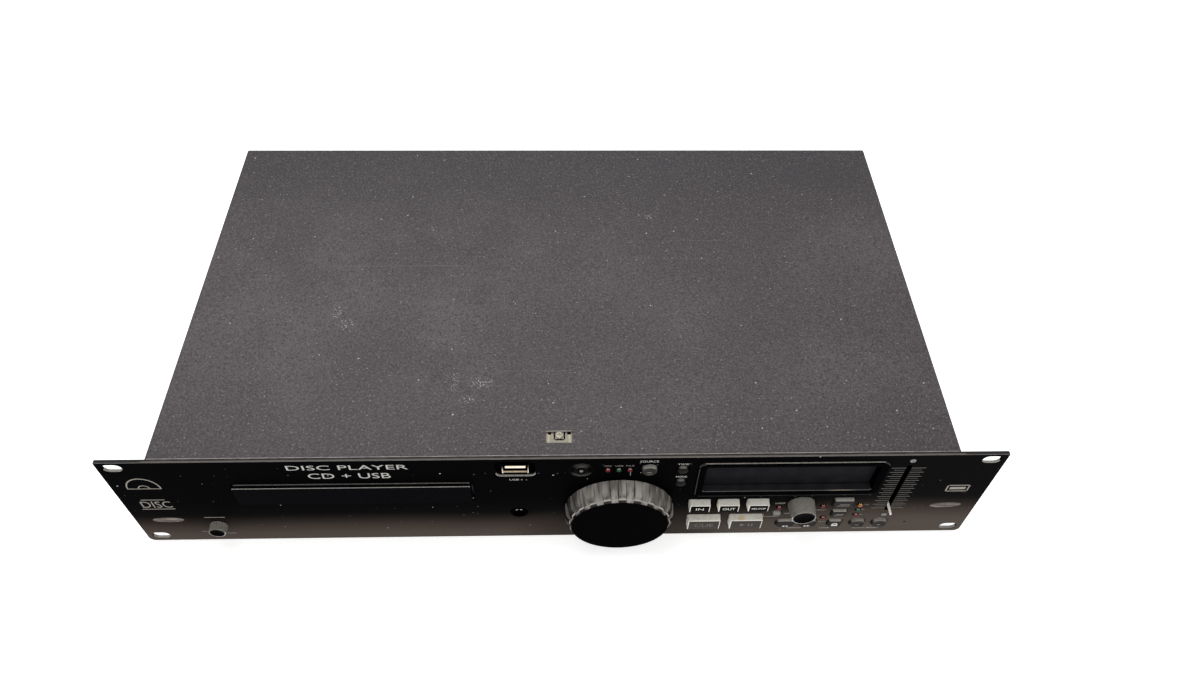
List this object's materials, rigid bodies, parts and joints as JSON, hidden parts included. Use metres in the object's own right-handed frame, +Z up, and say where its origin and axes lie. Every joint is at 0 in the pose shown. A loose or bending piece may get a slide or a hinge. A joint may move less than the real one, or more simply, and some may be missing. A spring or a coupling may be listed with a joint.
{
  "type": "rack disc player",
  "caption": "Two-unit rack disc player with a sliding disc tray, jog wheel, cue and play buttons, pitch fader, display and USB and headphone sockets.",
  "frame": {"origin": "middle of the player's footprint, at the height that its feet stand on", "axes": "+X to the right seen from the front, +Y into the player, +Z up"},
  "size_m": [0.482, 0.2728, 0.0888],
  "materials": {
    "black_gloss": "gloss black",
    "black_plastic": "satin black",
    "board": "green board",
    "dark_grey_plastic": "satin dark grey",
    "display_glass": "dark, clear front",
    "door_gloss": "gloss black",
    "fader_metal": "tinned sheet",
    "grey_paint": "satin grey textured paint",
    "grey_plastic": "mid grey",
    "natural_plastic": "natural white",
    "rubber": "black rubber",
    "steel": "bare steel",
    "white_plastic": "ivory, semi-gloss",
    "yellow_zinc": "yellow zinc-plated sheet",
    "zinc": "zinc-plated sheet"
  },
  "bodies": {
    "case": {"centre_bracket": "yellow_zinc", "chassis_pan": "zinc", "display_frame": "black_plastic", "display_module": "display_glass", "drive_belt": "rubber", "fader_body": "fader_metal", "fader_screw_lower": "steel", "fader_screw_upper": "steel", "foot_front_left": "rubber", "foot_front_right": "rubber", "foot_rear_left": "rubber", "foot_rear_right": "rubber", "front_board": "board", "front_panel": "black_gloss", "jog_bearing": "steel", "level_pot": "steel", "loader_frame": "black_plastic", "loading_motor": "steel", "main_board": "board", "output_sockets": "black_plastic", "phones_socket": "black_plastic", "power_board": "board", "power_inlet": "black_plastic", "rear_panel": "grey_paint", "top_cover": "grey_paint", "transformer": "steel", "usb_socket": "steel"},
    "tray": {"tray": "black_plastic", "tray_door": "door_gloss"},
    "tray_gear": {"tray_gear": "natural_plastic"},
    "motor_pulley": {"motor_pulley": "white_plastic"},
    "clamp": {"clamp_puck": "white_plastic"},
    "deck": {"deck_frame": "grey_plastic", "spindle_motor": "steel"},
    "turntable": {"turntable": "black_plastic"},
    "pickup": {"pickup": "dark_grey_plastic"},
    "sled_gear": {"sled_gear": "natural_plastic"},
    "jog_wheel": {"jog_rim": "dark_grey_plastic", "jog_face": "black_plastic"},
    "track_knob": {"track_knob": "dark_grey_plastic"},
    "level_knob": {"level_knob": "black_plastic"},
    "pitch_lever": {"fader_lever": "steel"},
    "power_rocker": {"power_rocker": "black_plastic"},
    "in_button": {"in_button": "white_plastic"},
    "out_button": {"out_button": "white_plastic"},
    "reloop_button": {"reloop_button": "white_plastic"},
    "cue_button": {"cue_button": "white_plastic"},
    "play_pause_button": {"play_pause_button": "white_plastic"},
    "bank_upper_button": {"bank_upper_button": "grey_plastic"},
    "bank_lower_button": {"bank_lower_button": "grey_plastic"},
    "lock_button": {"lock_button": "grey_plastic"},
    "search_back_button": {"search_back_button": "grey_plastic"},
    "search_forward_button": {"search_forward_button": "grey_plastic"},
    "open_close_button": {"open_close_button": "black_plastic"},
    "source_button": {"source_button": "grey_plastic"},
    "time_button": {"time_button": "grey_plastic"},
    "mode_button": {"mode_button": "grey_plastic"},
    "plus_button": {"plus_button": "grey_plastic"},
    "bend_minus_button": {"bend_minus_button": "grey_plastic"},
    "bend_plus_button": {"bend_plus_button": "grey_plastic"}
  },
  "joints": [
    {"name": "tray_slide", "type": "slide", "parent": "case", "child": "tray", "axis": [0, -1, 0], "range_m": [0, 0.128]},
    {"name": "tray_gear_spin", "type": "hinge", "parent": "case", "child": "tray_gear", "pos_m": [-0.14916, -0.1049, 0.0452], "axis": [0, 0, 1], "range_deg": [0, 734]},
    {"name": "motor_pulley_spin", "type": "hinge", "parent": "case", "child": "motor_pulley", "pos_m": [-0.10216, -0.1054, 0.0452], "axis": [0, 0, 1], "range_deg": [0, 2477]},
    {"name": "deck_lift", "type": "hinge", "parent": "case", "child": "deck", "pos_m": [-0.11216, 0.0286, 0.04195], "axis": [1, 0, 0], "range_deg": [0, 7]},
    {"name": "turntable_spin", "type": "hinge", "parent": "deck", "child": "turntable", "pos_m": [-0.11216, -0.0514, 0.055], "axis": [0, 0, 1], "continuous": true},
    {"name": "clamp_spin", "type": "hinge", "parent": "case", "child": "clamp", "pos_m": [-0.11216, -0.0514, 0.055], "axis": [0, 0, 1], "continuous": true},
    {"name": "pickup_slide", "type": "slide", "parent": "deck", "child": "pickup", "axis": [0, 1, 0], "range_m": [0, 0.03]},
    {"name": "sled_gear_spin", "type": "hinge", "parent": "deck", "child": "sled_gear", "pos_m": [-0.08036, -0.0016, 0.0467], "axis": [0, 0, 1], "range_deg": [-344, 0]},
    {"name": "jog_spin", "type": "hinge", "parent": "case", "child": "jog_wheel", "pos_m": [0.03408, -0.1234, 0.0372], "axis": [0, 1, 0], "continuous": true},
    {"name": "track_knob_turn", "type": "hinge", "parent": "case", "child": "track_knob", "pos_m": [0.1392, -0.1234, 0.0358], "axis": [0, 1, 0], "continuous": true},
    {"name": "level_knob_turn", "type": "hinge", "parent": "case", "child": "level_knob", "pos_m": [-0.19598, -0.1234, 0.0197], "axis": [0, 1, 0], "range_deg": [-140, 140]},
    {"name": "pitch_slide", "type": "slide", "parent": "case", "child": "pitch_lever", "axis": [0, 0, 1], "range_m": [-0.005, 0.04]},
    {"name": "rocker_tilt", "type": "hinge", "parent": "case", "child": "power_rocker", "pos_m": [0.1735, 0.1262, 0.045], "axis": [1, 0, 0], "range_deg": [-16, 0]},
    {"name": "in_press", "type": "slide", "parent": "case", "child": "in_button", "axis": [0, 1, 0], "range_m": [0, 0.0008], "stiffness_N_per_m": 300},
    {"name": "out_press", "type": "slide", "parent": "case", "child": "out_button", "axis": [0, 1, 0], "range_m": [0, 0.0008], "stiffness_N_per_m": 300},
    {"name": "reloop_press", "type": "slide", "parent": "case", "child": "reloop_button", "axis": [0, 1, 0], "range_m": [0, 0.0008], "stiffness_N_per_m": 300},
    {"name": "cue_press", "type": "slide", "parent": "case", "child": "cue_button", "axis": [0, 1, 0], "range_m": [0, 0.0008], "stiffness_N_per_m": 300},
    {"name": "play_pause_press", "type": "slide", "parent": "case", "child": "play_pause_button", "axis": [0, 1, 0], "range_m": [0, 0.0008], "stiffness_N_per_m": 300},
    {"name": "bank_upper_press", "type": "slide", "parent": "case", "child": "bank_upper_button", "axis": [0, 1, 0], "range_m": [0, 0.0008], "stiffness_N_per_m": 300},
    {"name": "bank_lower_press", "type": "slide", "parent": "case", "child": "bank_lower_button", "axis": [0, 1, 0], "range_m": [0, 0.0008], "stiffness_N_per_m": 300},
    {"name": "lock_press", "type": "slide", "parent": "case", "child": "lock_button", "axis": [0, 1, 0], "range_m": [0, 0.0008], "stiffness_N_per_m": 300},
    {"name": "search_back_press", "type": "slide", "parent": "case", "child": "search_back_button", "axis": [0, 1, 0], "range_m": [0, 0.0008], "stiffness_N_per_m": 300},
    {"name": "search_forward_press", "type": "slide", "parent": "case", "child": "search_forward_button", "axis": [0, 1, 0], "range_m": [0, 0.0008], "stiffness_N_per_m": 300},
    {"name": "open_close_press", "type": "slide", "parent": "case", "child": "open_close_button", "axis": [0, 1, 0], "range_m": [0, 0.0008], "stiffness_N_per_m": 300},
    {"name": "source_press", "type": "slide", "parent": "case", "child": "source_button", "axis": [0, 1, 0], "range_m": [0, 0.0008], "stiffness_N_per_m": 300},
    {"name": "time_press", "type": "slide", "parent": "case", "child": "time_button", "axis": [0, 1, 0], "range_m": [0, 0.0008], "stiffness_N_per_m": 300},
    {"name": "mode_press", "type": "slide", "parent": "case", "child": "mode_button", "axis": [0, 1, 0], "range_m": [0, 0.0008], "stiffness_N_per_m": 300},
    {"name": "plus_press", "type": "slide", "parent": "case", "child": "plus_button", "axis": [0, 1, 0], "range_m": [0, 0.0008], "stiffness_N_per_m": 300},
    {"name": "bend_minus_press", "type": "slide", "parent": "case", "child": "bend_minus_button", "axis": [0, 1, 0], "range_m": [0, 0.0008], "stiffness_N_per_m": 300},
    {"name": "bend_plus_press", "type": "slide", "parent": "case", "child": "bend_plus_button", "axis": [0, 1, 0], "range_m": [0, 0.0008], "stiffness_N_per_m": 300}
  ],
  "couplings": [
    {"joint": "tray_gear_spin", "follows": "tray_slide", "rad_per_m": 100},
    {"joint": "motor_pulley_spin", "follows": "tray_slide", "rad_per_m": 337.5},
    {"joint": "sled_gear_spin", "follows": "pickup_slide", "rad_per_m": -200}
  ]
}
